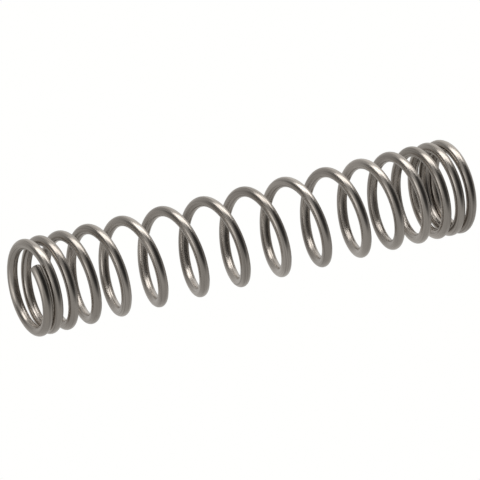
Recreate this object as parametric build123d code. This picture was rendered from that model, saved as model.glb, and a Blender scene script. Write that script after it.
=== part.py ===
"""A small compression spring: one length of round wire, coiled right-handed, that stands along +Z.

The coil's axis is the Z axis and Z = 0 is the lowest point of the wire, at the foot. Both ends are closed
and square, and neither is ground: the wire keeps its full round section up to its two cut ends. The pitch
is close at each end, climbs evenly over several turns, and is constant along the middle.
"""

import os
from math import atan2, cos, pi, sin

from build123d import *

# Sizes across the coil, in millimetres
wire_diameter = 1.0
mean_diameter = 8.4  # across the wire's centre line

# Rise of the centre line for each turn, in millimetres
closed_pitch = 1.18
working_pitch = 4.39

# How the turns are shared out along the spring, from the foot upwards
foot_closed_turns = 1.62
foot_ramp_turns = 4.5  # the pitch grows from closed to working
working_turns = 4.22
head_ramp_turns = 4.4  # the pitch shrinks from working to closed
head_closed_turns = 1.0

# The end turns are set square to the axis: they lean by this much either way, and straighten out again
end_lean = 0.25  # millimetres
end_lean_turns = 1.75

# Where the wire's foot end lies around the axis, in degrees from +X
foot_end_angle = 0.0

# Points of the centre line's curve in each turn
points_per_turn = 16

foot_ramp_start = foot_closed_turns
head_ramp_start = foot_closed_turns + foot_ramp_turns + working_turns
total_turns = head_ramp_start + head_ramp_turns + head_closed_turns


def ramped(turns, start, length):
    """Area under a ramp that climbs from 0 to 1 over its length and stays there, and its height."""
    along = min(max(turns - start, 0.0), length)
    return along**2 / (2 * length) + max(turns - start - length, 0.0), along / length


def leaned(turns):
    """Axial shift that sets an end turn square, at this many turns from that end, and its slope."""
    left = max(1 - turns / end_lean_turns, 0.0)
    turned = 2 * pi * turns
    slope = left * 2 * pi * cos(turned) - (sin(turned) / end_lean_turns if left else 0.0)
    return end_lean * left * sin(turned), end_lean * slope


def height_and_pitch(turns):
    """Rise of the centre line over the first turns of the wire, and the pitch there."""
    up_area, up_height = ramped(turns, foot_ramp_start, foot_ramp_turns)
    down_area, down_height = ramped(turns, head_ramp_start, head_ramp_turns)
    foot_lean, foot_slope = leaned(turns)
    head_lean, head_slope = leaned(total_turns - turns)
    opening = working_pitch - closed_pitch
    height = closed_pitch * turns + opening * (up_area - down_area) + foot_lean - head_lean
    pitch = closed_pitch + opening * (up_height - down_height) + foot_slope + head_slope
    return height, pitch


def foot_centre_height():
    """Height of the wire's centre at its foot end, whose cut face has its lowest edge at Z = 0."""
    _, pitch = height_and_pitch(0.0)
    climb = atan2(pitch, pi * mean_diameter)
    return wire_diameter / 2 * cos(climb)


def centre_point(turns):
    """Point of the wire's centre line."""
    angle = foot_end_angle * pi / 180 + 2 * pi * turns
    height, _ = height_and_pitch(turns)
    radius = mean_diameter / 2
    return Vector(radius * cos(angle), radius * sin(angle), foot_centre_height() + height)


def centre_direction(turns):
    """How far the centre line moves for one more turn, as a vector along the wire."""
    angle = foot_end_angle * pi / 180 + 2 * pi * turns
    _, pitch = height_and_pitch(turns)
    return Vector(-pi * mean_diameter * sin(angle), pi * mean_diameter * cos(angle), pitch)


def centre_line():
    """The wire's centre line from foot to head, as one smooth curve that has turns as its parameter."""
    count = round(total_turns * points_per_turn)
    stations = [total_turns * i / count for i in range(count + 1)]
    return Edge.make_spline(
        [centre_point(turns) for turns in stations],
        tangents=[centre_direction(0.0), centre_direction(total_turns)],
        parameters=stations,
        scale=False,
    )


def spring_wire():
    """The wire, its round section carried along the centre line and cut square at both ends."""
    line = centre_line()
    inwards = Vector(-(line @ 0).X, -(line @ 0).Y, 0)
    start = Plane(origin=line @ 0, x_dir=inwards, z_dir=line % 0)
    return sweep(start * Circle(wire_diameter / 2), path=line, is_frenet=True)


os.makedirs("parts", exist_ok=True)
wire = spring_wire()
wire.label = "spring_wire"
export_step(wire, "parts/spring_wire.step")
length = wire.bounding_box().size.Z
print(f"turns {total_turns:.2f}, free length {length:.2f} mm, volume {wire.volume:.2f} mm3")
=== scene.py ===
"""A small compression spring of drawn steel wire, standing on its closed foot.

The wire is one smooth coil with close turns at both ends and open turns between. It stands for the plain
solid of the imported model, in the same place and of the same size, and it carries the finish of bright drawn
spring wire: fine lines along its length, a faint change of tone from turn to turn and a duller cut face at
each end. Everything is in metres.
"""

import logging
from dataclasses import dataclass, field
from enum import Enum
from math import cos, hypot, pi, radians, sin

import bmesh
import bpy
from mathutils import Matrix, Vector


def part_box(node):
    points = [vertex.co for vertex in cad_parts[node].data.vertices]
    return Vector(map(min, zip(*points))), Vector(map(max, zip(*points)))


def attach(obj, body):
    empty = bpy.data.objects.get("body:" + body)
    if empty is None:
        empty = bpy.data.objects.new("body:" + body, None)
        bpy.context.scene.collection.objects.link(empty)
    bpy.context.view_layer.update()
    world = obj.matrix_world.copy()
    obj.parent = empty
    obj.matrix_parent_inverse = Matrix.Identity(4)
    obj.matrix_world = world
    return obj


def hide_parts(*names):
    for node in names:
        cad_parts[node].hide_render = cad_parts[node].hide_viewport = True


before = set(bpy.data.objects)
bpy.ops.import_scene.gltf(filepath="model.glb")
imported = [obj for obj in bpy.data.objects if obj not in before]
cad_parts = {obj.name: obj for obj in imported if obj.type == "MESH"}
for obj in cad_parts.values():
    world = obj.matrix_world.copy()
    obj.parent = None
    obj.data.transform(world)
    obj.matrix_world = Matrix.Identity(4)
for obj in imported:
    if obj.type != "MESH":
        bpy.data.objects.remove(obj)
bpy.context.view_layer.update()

log = logging.getLogger("spring")
logging.basicConfig(level=logging.INFO, format="%(message)s")


# --------------------------------------------------------------------------------------------- helpers


def choose_nothing() -> None:
    """Leaves edit mode and deselects every object."""
    if bpy.context.object and bpy.context.object.mode != "OBJECT":
        bpy.ops.object.mode_set(mode="OBJECT")
    bpy.ops.object.select_all(action="DESELECT")


def only(piece: bpy.types.Object) -> None:
    """Makes one object the only one selected and the active one.

    Args:
        piece: the object to work on.
    """
    choose_nothing()
    piece.select_set(True)
    bpy.context.view_layer.objects.active = piece


def apply_modifiers(piece: bpy.types.Object) -> None:
    """Applies each of a piece's modifiers, from the top of its stack.

    Args:
        piece: the object whose modifiers are applied.
    """
    only(piece)
    for modifier in list(piece.modifiers):
        bpy.ops.object.modifier_apply(modifier=modifier.name)


def place_in_mesh(piece: bpy.types.Object) -> None:
    """Puts a piece's place, turn and scale into its mesh, so that its object sits at the origin.

    Args:
        piece: the object to settle.
    """
    only(piece)
    bpy.ops.object.transform_apply(location=True, rotation=True, scale=True)


class NodeTree:
    """A small hand for laying out nodes and the links between them."""

    def __init__(self, tree: bpy.types.NodeTree) -> None:
        """Takes a node tree to write in.

        Args:
            tree: the material's, world's or group's tree.
        """
        self.tree = tree

    def add(self, kind: str, **settings: object) -> bpy.types.Node:
        """Adds a node and sets its properties.

        Args:
            kind: the node's type, such as ShaderNodeMath.
            settings: properties of the node by name.

        Returns:
            The new node.
        """
        node = self.tree.nodes.new(kind)
        for name, value in settings.items():
            setattr(node, name, value)
        return node

    def feed(self, socket: bpy.types.NodeSocket, value: object) -> None:
        """Links another socket into this one, or sets its value.

        Args:
            socket: the input to fill.
            value: an output socket, a number or a tuple.
        """
        if isinstance(value, bpy.types.NodeSocket):
            self.tree.links.new(value, socket)
        else:
            socket.default_value = value

    def math(self, operation: str, *values: object, clamp: bool = False) -> bpy.types.NodeSocket:
        """Adds a Math node.

        Args:
            operation: its operation.
            values: its inputs, numbers or sockets.
            clamp: whether its result is kept between 0 and 1.

        Returns:
            Its output socket.
        """
        node = self.add("ShaderNodeMath", operation=operation, use_clamp=clamp)
        for socket, value in zip(node.inputs, values):
            self.feed(socket, value)
        return node.outputs[0]

    def noise(self, vector: object, detail: float, rough: float) -> bpy.types.NodeSocket:
        """Adds a noise texture whose scale is in the coordinates it reads.

        Args:
            vector: the coordinates it reads.
            detail: its octaves.
            rough: how strong the finer octaves are.

        Returns:
            Its factor, around 0.5.
        """
        node = self.add("ShaderNodeTexNoise")
        self.feed(node.inputs["Vector"], vector)
        self.feed(node.inputs["Scale"], 1.0)
        self.feed(node.inputs["Detail"], detail)
        self.feed(node.inputs["Roughness"], rough)
        return node.outputs["Fac"]

    def ramp(
        self, value: object, low: float, high: float, to_low: float, to_high: float
    ) -> bpy.types.NodeSocket:
        """Maps a range of values on to another, with both ends held.

        Args:
            value: the value to map.
            low: the value that gives to_low.
            high: the value that gives to_high.
            to_low: the result at low and under.
            to_high: the result at high and over.

        Returns:
            The mapped value.
        """
        node = self.add("ShaderNodeMapRange", clamp=True)
        for socket, number in zip(node.inputs, (value, low, high, to_low, to_high)):
            self.feed(socket, number)
        return node.outputs[0]

    def mix(self, share: object, first: object, second: object) -> bpy.types.NodeSocket:
        """Mixes two colours.

        Args:
            share: how much of the second colour.
            first: the colour at 0.
            second: the colour at 1.

        Returns:
            The mixed colour.
        """
        node = self.add("ShaderNodeMix", data_type="RGBA")
        self.feed(node.inputs[0], share)
        self.feed(node.inputs[6], first)
        self.feed(node.inputs[7], second)
        return node.outputs[2]


# ---------------------------------------------------------------------------------------------- finish


class WireSide(Enum):
    """Which part of the wire a face belongs to, kept as a number on the mesh."""

    DRAWN = 0.0
    CUT = 1.0


@dataclass(frozen=True)
class Mottle:
    """An uneven mark on the wire: how it is stretched, and where it begins and is full.

    The stretch is in marks to each wire diameter, along the wire, and in marks to each half width, round it.
    """

    along: float
    round_: float
    detail: float
    rough: float
    begins: float = 0.3
    full: float = 0.7
    strength: float = 1.0


@dataclass(frozen=True)
class DrawnSteel:
    """Bright drawn spring wire: satin steel with fine lines along it and duller cut ends."""

    name: str = "drawn_spring_steel"
    light: tuple[float, float, float, float] = (0.60, 0.56, 0.52, 1.0)
    deep: tuple[float, float, float, float] = (0.44, 0.405, 0.37, 1.0)
    line_colour: tuple[float, float, float, float] = (0.15, 0.135, 0.12, 1.0)
    cut_colour: tuple[float, float, float, float] = (0.10, 0.11, 0.095, 1.0)
    smoothest: float = 0.2125
    dullest: float = 0.30
    cut_dulling: float = 0.22
    relief: float = 0.15
    relief_height: float = 0.00002
    fine_relief: float = 0.5
    lines: Mottle = Mottle(0.025, 4.0, 3.0, 0.6, begins=0.46, full=0.31, strength=0.72)
    fine_lines: Mottle = Mottle(0.075, 16.0, 2.0, 0.6)
    tone: Mottle = Mottle(0.11, 0.35, 2.0, 0.5, begins=0.32, full=0.68)
    specks: Mottle = Mottle(1.7, 1.7, 3.0, 0.6, begins=0.66, full=0.78, strength=0.35)

    def pattern(self, net: NodeTree, mottle: Mottle) -> bpy.types.NodeSocket:
        """Lays one mottle on the wire, so that it closes up round it.

        Args:
            net: the material's nodes.
            mottle: how it is stretched.

        Returns:
            The pattern's value, around 0.5.
        """
        wire_map = net.add("ShaderNodeUVMap", uv_map="wire_map")
        split = net.add("ShaderNodeSeparateXYZ")
        net.feed(split.inputs[0], wire_map.outputs[0])
        way_round = net.math("MULTIPLY", split.outputs[1], 2 * pi)
        joined = net.add("ShaderNodeCombineXYZ")
        net.feed(joined.inputs[0], net.math("MULTIPLY", split.outputs[0], mottle.along))
        net.feed(joined.inputs[1], net.math("MULTIPLY", net.math("COSINE", way_round), mottle.round_))
        net.feed(joined.inputs[2], net.math("MULTIPLY", net.math("SINE", way_round), mottle.round_))
        return net.noise(joined.outputs[0], mottle.detail, mottle.rough)

    def share(self, net: NodeTree, value: object, mottle: Mottle) -> bpy.types.NodeSocket:
        """Turns a pattern's value into how much of its colour shows.

        Args:
            net: the material's nodes.
            value: the pattern's value.
            mottle: where it begins and is full.

        Returns:
            The share, from 0 to the mottle's strength.
        """
        return net.ramp(value, mottle.begins, mottle.full, 0.0, mottle.strength)

    def material(self) -> bpy.types.Material:
        """Builds the finish.

        Returns:
            The material. It reads the wire's own map: u is the length along it in wire diameters, v is the
            way round it from 0 to 1.
        """
        made = bpy.data.materials.new(self.name)
        made.use_nodes = True
        net = NodeTree(made.node_tree)
        shader = made.node_tree.nodes["Principled BSDF"]

        lines = self.pattern(net, self.lines)
        fine = self.pattern(net, self.fine_lines)
        tone = self.pattern(net, self.tone)
        specks = self.pattern(net, self.specks)
        cut = net.add("ShaderNodeAttribute", attribute_name="wire_side").outputs["Fac"]

        body = net.mix(self.share(net, tone, self.tone), self.light, self.deep)
        body = net.mix(self.share(net, lines, self.lines), body, self.line_colour)
        body = net.mix(self.share(net, specks, self.specks), body, self.line_colour)
        net.feed(shader.inputs["Base Color"], net.mix(cut, body, self.cut_colour))
        shader.inputs["Metallic"].default_value = 1.0

        rough = net.ramp(fine, self.fine_lines.begins, self.fine_lines.full, self.smoothest, self.dullest)
        rough = net.math("ADD", rough, net.math("MULTIPLY", cut, self.cut_dulling))
        net.feed(shader.inputs["Roughness"], rough)

        bump = net.add("ShaderNodeBump")
        bump.inputs["Strength"].default_value = self.relief
        bump.inputs["Distance"].default_value = self.relief_height
        height = net.math("ADD", lines, net.math("MULTIPLY", fine, self.fine_relief))
        net.feed(bump.inputs["Height"], height)
        net.feed(shader.inputs["Normal"], bump.outputs[0])
        return made


# ------------------------------------------------------------------------------------------- the spring


@dataclass
class CoiledWire:
    """One length of round wire, coiled right-handed, with close turns at both ends.

    Turns are counted from the foot's cut end. Lengths are in metres.
    """

    node: str = "spring_wire"
    wire_diameter: float = 0.001
    closed_pitch: float = 0.00118
    working_pitch: float = 0.00439
    foot_closed_turns: float = 1.62
    foot_ramp_turns: float = 4.5
    working_turns: float = 4.22
    head_ramp_turns: float = 4.4
    head_closed_turns: float = 1.0
    end_lean: float = 0.00025
    end_lean_turns: float = 1.75
    facets_round: int = 32
    steps_each_turn: int = 120
    end_break: float = 0.00007
    end_set_back: float = 0.00004
    crease_angle: float = 22.0
    small_turn: float = 0.001
    finish: DrawnSteel = field(default_factory=DrawnSteel)

    @property
    def turns(self) -> float:
        """All the turns of the coil, from one cut end to the other."""
        return (
            self.foot_closed_turns
            + self.foot_ramp_turns
            + self.working_turns
            + self.head_ramp_turns
            + self.head_closed_turns
        )

    def __post_init__(self) -> None:
        """Takes the radius of the wire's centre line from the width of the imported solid."""
        low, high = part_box(self.node)
        self.mean_radius = (high[0] - low[0] - self.wire_diameter) / 2

    def opened(self, turn: float, start: float, length: float) -> float:
        """Adds up how far the coil has opened between its start and a turn.

        Args:
            turn: turns from the foot's cut end.
            start: the turn where the opening begins.
            length: the turns that it takes.

        Returns:
            The opened share, added up over the turns.
        """
        along = min(max(turn - start, 0.0), length)
        return along**2 / (2 * length) + max(turn - start - length, 0.0)

    def leaned(self, turn: float) -> float:
        """Gives how far an end turn leans.

        Args:
            turn: turns from its own cut end.

        Returns:
            The lean in metres.
        """
        left = max(1 - turn / self.end_lean_turns, 0.0)
        return self.end_lean * left * sin(2 * pi * turn)

    def height(self, turn: float) -> float:
        """Gives the height of the wire's centre line over its own start.

        Args:
            turn: turns from the foot's cut end.

        Returns:
            The height in metres.
        """
        opening = self.working_pitch - self.closed_pitch
        head_start = self.foot_closed_turns + self.foot_ramp_turns + self.working_turns
        rise = self.opened(turn, self.foot_closed_turns, self.foot_ramp_turns)
        rise -= self.opened(turn, head_start, self.head_ramp_turns)
        lean = self.leaned(turn) - self.leaned(self.turns - turn)
        return self.closed_pitch * turn + opening * rise + lean

    def centre(self, turn: float) -> Vector:
        """Gives a point of the centre line, before the coil is set on the floor.

        Args:
            turn: turns from the foot's cut end.

        Returns:
            The point.
        """
        angle = 2 * pi * turn
        return Vector((self.mean_radius * cos(angle), self.mean_radius * sin(angle), self.height(turn)))

    def direction(self, turn: float) -> Vector:
        """Gives the way that the wire runs.

        Args:
            turn: turns from the foot's cut end.

        Returns:
            A unit vector towards the head.
        """
        return (self.centre(turn + self.small_turn) - self.centre(turn - self.small_turn)).normalized()

    def wind(self) -> bpy.types.Object:
        """Winds the wire: one round section, swept round the axis and then opened turn by turn.

        Returns:
            The open tube, one ring of vertices after another.
        """
        choose_nothing()
        bpy.ops.mesh.primitive_circle_add(
            vertices=self.facets_round,
            radius=self.wire_diameter / 2,
            fill_type="NOTHING",
            location=(self.mean_radius, 0, 0),
            rotation=(pi / 2, 0, 0),
        )
        piece = bpy.context.object
        piece.name = "coiled_wire"
        place_in_mesh(piece)
        steps = round(self.turns * self.steps_each_turn)
        winding = piece.modifiers.new("winding", "SCREW")
        winding.axis = "Z"
        winding.angle = 2 * pi * self.turns
        winding.screw_offset = self.height(self.turns)
        winding.steps = winding.render_steps = steps
        winding.use_merge_vertices = False
        winding.use_smooth_shade = True
        apply_modifiers(piece)
        self.open_turns(piece, steps)
        return piece

    def open_turns(self, piece: bpy.types.Object, steps: int) -> None:
        """Sets each ring of the tube square to the wire, at its own height.

        Args:
            piece: the wound tube.
            steps: the rings along it, less one.
        """
        count = self.facets_round
        lift = self.foot_height()
        points = []
        for ring in range(steps + 1):
            turn = self.turns * ring / steps
            centre = self.centre(turn)
            way = self.direction(turn)
            if ring == 0:
                centre += way * self.end_set_back
            elif ring == steps:
                centre -= way * self.end_set_back
            outward = Vector((centre.x, centre.y, 0)).normalized()
            outward = (outward - way * outward.dot(way)).normalized()
            upward = way.cross(outward)
            upward = -upward if upward.z < 0 else upward
            for place in range(count):
                angle = 2 * pi * place / count
                side = outward * cos(angle) + upward * sin(angle)
                point = centre + side * (self.wire_diameter / 2)
                points += (point.x, point.y, point.z + lift)
        piece.data.vertices.foreach_set("co", points)
        piece.data.update()

    def foot_height(self) -> float:
        """Gives the height of the centre line at the foot's cut end, with the foot on the floor.

        Returns:
            The height in metres.
        """
        rise = self.height(self.small_turn) - self.height(0)
        slope = rise / (2 * pi * self.mean_radius * self.small_turn)
        return self.wire_diameter / 2 / hypot(1, slope)

    def lay_map(self, piece: bpy.types.Object) -> None:
        """Lays the map that the finish reads: along the wire in diameters, and round it from 0 to 1.

        Args:
            piece: the wound tube, before its ends are closed.
        """
        mesh = piece.data
        count = self.facets_round
        rings = len(mesh.vertices) // count
        length_of_ring = self.turns / (rings - 1) * 2 * pi * self.mean_radius / self.wire_diameter
        for old in list(mesh.uv_layers):
            mesh.uv_layers.remove(old)
        layer = mesh.uv_layers.new(name="wire_map")
        for face in mesh.polygons:
            places = [mesh.loops[i].vertex_index % count for i in face.loop_indices]
            wraps = max(places) - min(places) > 1
            for i, place in zip(face.loop_indices, places):
                ring = mesh.loops[i].vertex_index // count
                if wraps and place == 0:
                    place = count
                layer.data[i].uv = (ring * length_of_ring, place / count)

    def close_ends(self, piece: bpy.types.Object) -> None:
        """Closes both cut ends with a flat face inside a narrow sloping border.

        Args:
            piece: the wound tube.
        """
        only(piece)
        bpy.ops.object.mode_set(mode="EDIT")
        bpy.ops.mesh.select_mode(type="VERT")
        count = self.facets_round
        last = len(piece.data.vertices) - count
        for first in (0, last):
            bpy.ops.mesh.select_all(action="DESELECT")
            shape = bmesh.from_edit_mesh(piece.data)
            shape.verts.ensure_lookup_table()
            for vertex in shape.verts[first : first + count]:
                vertex.select = True
            shape.select_flush_mode()
            bmesh.update_edit_mesh(piece.data)
            bpy.ops.mesh.edge_face_add()
        bpy.ops.mesh.select_all(action="SELECT")
        bpy.ops.mesh.normals_make_consistent(inside=False)
        bpy.ops.mesh.select_all(action="DESELECT")
        bpy.ops.mesh.select_mode(type="FACE")
        shape = bmesh.from_edit_mesh(piece.data)
        for face in shape.faces:
            face.select = len(face.verts) == count
        bmesh.update_edit_mesh(piece.data)
        bpy.ops.mesh.inset(thickness=self.end_break, depth=self.end_set_back, use_individual=True)
        bpy.ops.object.mode_set(mode="OBJECT")
        bpy.ops.object.shade_smooth_by_angle(angle=radians(self.crease_angle))

    def mark_cuts(self, piece: bpy.types.Object) -> None:
        """Writes on each face whether it is drawn wire or a cut end.

        Args:
            piece: the closed wire. The corners of its two cut faces come last among its vertices.
        """
        mesh = piece.data
        layer = mesh.attributes.new("wire_side", "FLOAT", "CORNER")
        drawn = len(mesh.vertices) - 2 * self.facets_round
        for face in mesh.polygons:
            cut = max(face.vertices) >= drawn
            for i in face.loop_indices:
                layer.data[i].value = WireSide.CUT.value if cut else WireSide.DRAWN.value

    def build(self) -> bpy.types.Object:
        """Makes the whole wire.

        Returns:
            The closed piece, dressed in its finish.
        """
        piece = self.wind()
        self.lay_map(piece)
        self.close_ends(piece)
        self.mark_cuts(piece)
        self.dress(piece)
        return piece

    def dress(self, piece: bpy.types.Object) -> None:
        """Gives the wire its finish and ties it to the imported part.

        Args:
            piece: the closed wire.
        """
        piece.data.materials.clear()
        piece.data.materials.append(self.finish.material())
        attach(piece, "root")
        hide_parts(self.node)


# --------------------------------------------------------------------------------------------- studio


@dataclass
class ViewPoint:
    """A long lens that looks down on the spring, turned so that the spring lies across the view.

    Angles are in degrees. The lens and its sensor are in millimetres, all else is in metres.
    """

    lens: float = 500.0
    sensor: float = 36.0
    distance: float = 0.6394
    elevation: float = 23.5
    azimuth: float = 240.8
    roll: float = -103.62
    height: float = 0.02397
    aim_right: float = -0.000117
    aim_up: float = -0.000284
    nearest_seen: float = 0.01
    furthest_seen: float = 20.0

    def axes(self) -> tuple[Vector, Vector, Vector]:
        """Gives the view's own right, up and backward directions.

        Returns:
            Three unit vectors.
        """
        lift, swing, turn = radians(self.elevation), radians(self.azimuth), radians(self.roll)
        back = Vector((cos(lift) * cos(swing), cos(lift) * sin(swing), sin(lift)))
        level = Vector((-sin(swing), cos(swing), 0))
        above = back.cross(level)
        right = level * cos(turn) + above * sin(turn)
        up = above * cos(turn) - level * sin(turn)
        return right, up, back

    def aim(self) -> Vector:
        """Gives the point that the middle of the view looks at.

        Returns:
            The point.
        """
        right, up, _ = self.axes()
        return Vector((0, 0, self.height)) + right * self.aim_right + up * self.aim_up

    def place(self, right: float, up: float, back: float) -> Vector:
        """Gives a point by its distances from the aim along the view's own axes.

        Args:
            right: metres to the right.
            up: metres up.
            back: metres towards the viewer.

        Returns:
            The point.
        """
        x, y, z = self.axes()
        return self.aim() + x * right + y * up + z * back

    def build(self) -> bpy.types.Object:
        """Makes the camera.

        Returns:
            The camera's object.
        """
        right, up, back = self.axes()
        lens = bpy.data.cameras.new("view_point")
        lens.lens = self.lens
        lens.sensor_width = self.sensor
        lens.clip_start = self.nearest_seen
        lens.clip_end = self.furthest_seen
        camera = bpy.data.objects.new("view_point", lens)
        bpy.context.scene.collection.objects.link(camera)
        turned = Matrix((right, up, back)).transposed().to_4x4()
        turned.translation = self.aim() + back * self.distance
        camera.matrix_world = turned
        bpy.context.scene.camera = camera
        return camera


@dataclass(frozen=True)
class SoftBox:
    """A flat soft lamp that faces the spring.

    Its directions are right, up and back in the view. Brightness is what a mirror would show of it.
    """

    name: str
    towards: tuple[float, float, float]
    width: float
    length: float
    brightness: float
    away: float = 0.6
    long_way: tuple[float, float, float] = (1.0, 0.0, 0.0)
    colour: tuple[float, float, float] = (1.0, 0.985, 0.96)

    def build(self, view: ViewPoint) -> bpy.types.Object:
        """Makes the lamp.

        Args:
            view: the view point whose axes the directions are given in.

        Returns:
            The lamp's object.
        """
        way = (view.place(*self.towards) - view.aim()).normalized()
        long_axis = view.place(*self.long_way) - view.aim()
        long_axis = (long_axis - way * long_axis.dot(way)).normalized()
        short_axis = way.cross(long_axis)
        lamp = bpy.data.lights.new(self.name, "AREA")
        lamp.shape = "RECTANGLE"
        lamp.size = self.length
        lamp.size_y = self.width
        lamp.color = self.colour
        lamp.energy = self.brightness * pi * self.length * self.width
        placed = bpy.data.objects.new(self.name, lamp)
        bpy.context.scene.collection.objects.link(placed)
        turned = Matrix((long_axis, short_axis, way)).transposed().to_4x4()
        turned.translation = view.aim() + way * self.away
        placed.matrix_world = turned
        return placed


@dataclass(frozen=True)
class Wall:
    """A part of the room round the spring that is lighter or darker than the rest, with a soft edge.

    Its direction is right, up and back in the view. Inner and outer are the angles, in degrees from its
    middle, where its edge starts to fade and has faded.
    """

    towards: tuple[float, float, float]
    inner: float
    outer: float
    brightness: float


@dataclass
class Studio:
    """A pale floor, a soft room with lighter and darker sides, and soft lamps."""

    view: ViewPoint = field(default_factory=ViewPoint)
    floor_size: float = 3.0
    pale: float = 1.0
    room: float = 0.41
    floor_colour: tuple[float, float, float, float] = (1.0, 1.0, 0.99, 1.0)
    air_colour: tuple[float, float, float, float] = (1.0, 0.985, 0.955, 1.0)
    walls: tuple[Wall, ...] = (
        Wall((0.0, 0.0, -1.0), 15.0, 62.0, 0.60),
        Wall((0.22, 0.82, -0.53), 14.0, 46.0, 0.85),
        Wall((-0.93, 0.28, 0.20), 8.0, 34.0, 0.13),
        Wall((0.71, 0.21, 0.67), 25.0, 66.0, 0.035),
        Wall((-0.88, -0.32, 0.34), 3.0, 24.0, 0.95),
        Wall((-0.68, -0.10, 0.72), 3.0, 22.0, 1.25),
    )
    lamps: tuple[SoftBox, ...] = (
        SoftBox("key_strip", (-0.08, 0.97, 0.20), 0.34, 0.95, 2.1, long_way=(1.0, 0.0, -0.25)),
    )

    def floor(self) -> bpy.types.Object:
        """Lays the floor under the spring.

        Returns:
            The floor's object, marked as stage.
        """
        choose_nothing()
        bpy.ops.mesh.primitive_plane_add(size=self.floor_size, location=(0, 0, 0))
        plane = bpy.context.object
        plane.name = "pale_floor"
        made = bpy.data.materials.new("pale_floor")
        made.use_nodes = True
        net = NodeTree(made.node_tree)
        nodes = made.node_tree.nodes
        nodes.remove(nodes["Principled BSDF"])
        glow = net.add("ShaderNodeEmission")
        glow.inputs[0].default_value = self.floor_colour
        glow.inputs[1].default_value = self.pale
        net.feed(nodes["Material Output"].inputs[0], glow.outputs[0])
        plane.data.materials.append(made)
        plane.visible_glossy = False
        return plane

    def air(self) -> None:
        """Fills the room with soft light, a little more or less of it from each wall."""
        world = bpy.data.worlds.new("soft_room")
        world.use_nodes = True
        net = NodeTree(world.node_tree)
        background = world.node_tree.nodes["Background"]
        place = net.add("ShaderNodeTexCoord")
        light = self.room
        for wall in self.walls:
            way = (self.view.place(*wall.towards) - self.view.aim()).normalized()
            facing = net.add("ShaderNodeVectorMath", operation="DOT_PRODUCT")
            net.feed(facing.inputs[0], place.outputs["Generated"])
            facing.inputs[1].default_value = way
            edge = net.add("ShaderNodeMapRange", interpolation_type="SMOOTHSTEP")
            net.feed(edge.inputs[0], facing.outputs["Value"])
            edge.inputs[1].default_value = cos(radians(wall.outer))
            edge.inputs[2].default_value = cos(radians(wall.inner))
            share = edge.outputs[0]
            stays = net.math("MULTIPLY", net.math("SUBTRACT", 1.0, share), light)
            light = net.math("ADD", stays, net.math("MULTIPLY", share, wall.brightness))
        path = net.add("ShaderNodeLightPath")
        seen = path.outputs["Is Camera Ray"]
        light = net.math("MULTIPLY", net.math("SUBTRACT", 1.0, seen), light)
        light = net.math("ADD", light, net.math("MULTIPLY", seen, self.pale))
        background.inputs[0].default_value = self.air_colour
        net.feed(background.inputs[1], light)
        bpy.context.scene.world = world

    def build(self) -> None:
        """Makes the camera, the floor, the room and the lamps."""
        self.view.build()
        self.floor()
        self.air()
        for lamp in self.lamps:
            lamp.build(self.view)
        bpy.context.scene.view_settings.view_transform = "Standard"


def main() -> None:
    """Builds the spring and the studio."""
    wire = CoiledWire().build()
    log.info("%s: %d faces", wire.name, len(wire.data.polygons))
    Studio().build()
    log.info("studio ready")


if __name__ == "__main__":
    main()
